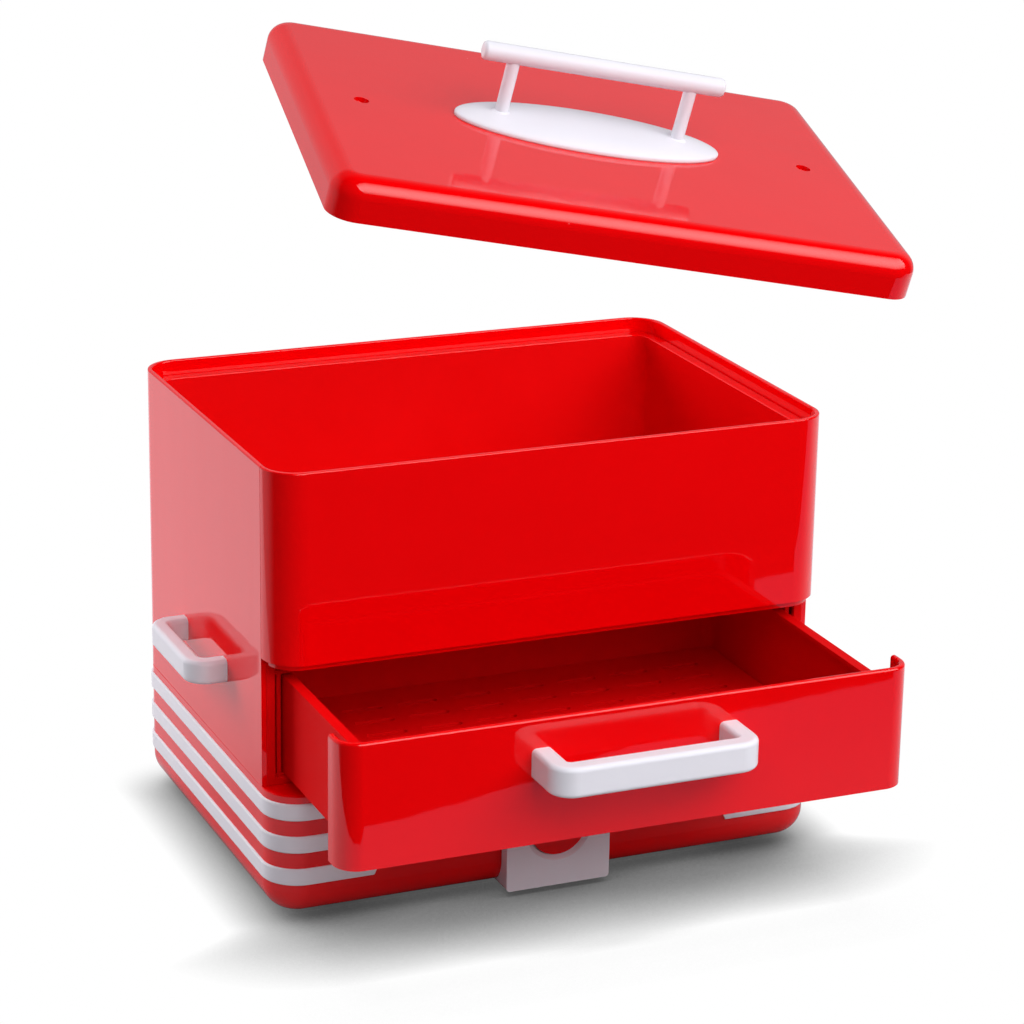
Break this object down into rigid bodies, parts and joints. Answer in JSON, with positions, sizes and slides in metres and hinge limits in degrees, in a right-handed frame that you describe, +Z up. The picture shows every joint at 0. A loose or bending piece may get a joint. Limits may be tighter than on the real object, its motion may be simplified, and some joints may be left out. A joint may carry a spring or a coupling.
{
  "type": "hot dog steamer",
  "caption": "Counter-top hot dog steamer with a slide-out steaming drawer, a bun bin above it, a lift-off lid with a bar handle and a water tank in the base.",
  "frame": {"origin": "on the table under the middle of the base", "axes": "+Z up, +X to the right seen from the front, -Y out of the front, the way the drawer opens"},
  "size_m": [0.4029, 0.3843, 0.4133],
  "materials": {
    "red_plastic": "glossy moulded red",
    "tray_plastic": "satin moulded red",
    "dial_plastic": "dull red",
    "white_plastic": "glossy moulded white",
    "dark_plastic": "fine grained black",
    "rubber": "matte",
    "pressed_steel": "drawn sheet",
    "cast_aluminium": "turned",
    "zinc_steel": "zinc plated"
  },
  "bodies": {
    "stand": {"base_shell": "red_plastic", "bottom_cover": "dark_plastic", "rubber_feet": "rubber", "bottom_screws": "zinc_steel", "band_top": "white_plastic", "band_middle": "white_plastic", "band_low": "white_plastic", "badge_plate": "white_plastic", "thermostat": "zinc_steel", "water_tank": "pressed_steel", "heating_plate": "cast_aluminium", "heating_element": "zinc_steel", "cord_gland": "dark_plastic", "housing_shell": "red_plastic", "front_panel": "red_plastic", "drawer_frame": "red_plastic", "runner_left": "red_plastic", "runner_right": "red_plastic", "bun_bin": "tray_plastic", "bun_grid": "tray_plastic", "side_handle_left": "white_plastic", "side_handle_right": "white_plastic", "side_handle_screws": "zinc_steel"},
    "dial": {"control_knob": "dial_plastic", "knob_shaft": "zinc_steel"},
    "drawer": {"drawer_front": "red_plastic", "drawer_box": "tray_plastic", "drawer_grid": "tray_plastic", "drawer_handle": "white_plastic", "drawer_handle_screws": "zinc_steel"},
    "lid": {"lid_shell": "red_plastic", "lid_handle_plate": "white_plastic", "lid_post_left": "white_plastic", "lid_post_right": "white_plastic", "lid_handle_bar": "white_plastic", "lid_screws": "zinc_steel"}
  },
  "joints": [
    {"name": "drawer_slide", "type": "slide", "parent": "stand", "child": "drawer", "axis": [0, -1, 0], "range_m": [-0.095, 0.05]},
    {"name": "lid_lift", "type": "hinge", "parent": "stand", "child": "lid", "pos_m": [0.23749, -0.32929, 0.235], "axis": [0.6579, 0.5481, -0.5165], "range_deg": [-17.65, 6]},
    {"name": "dial_turn", "type": "hinge", "parent": "stand", "child": "dial", "pos_m": [0, -0.1085, 0.035], "axis": [0, 1, 0], "range_deg": [0, 270]}
  ]
}
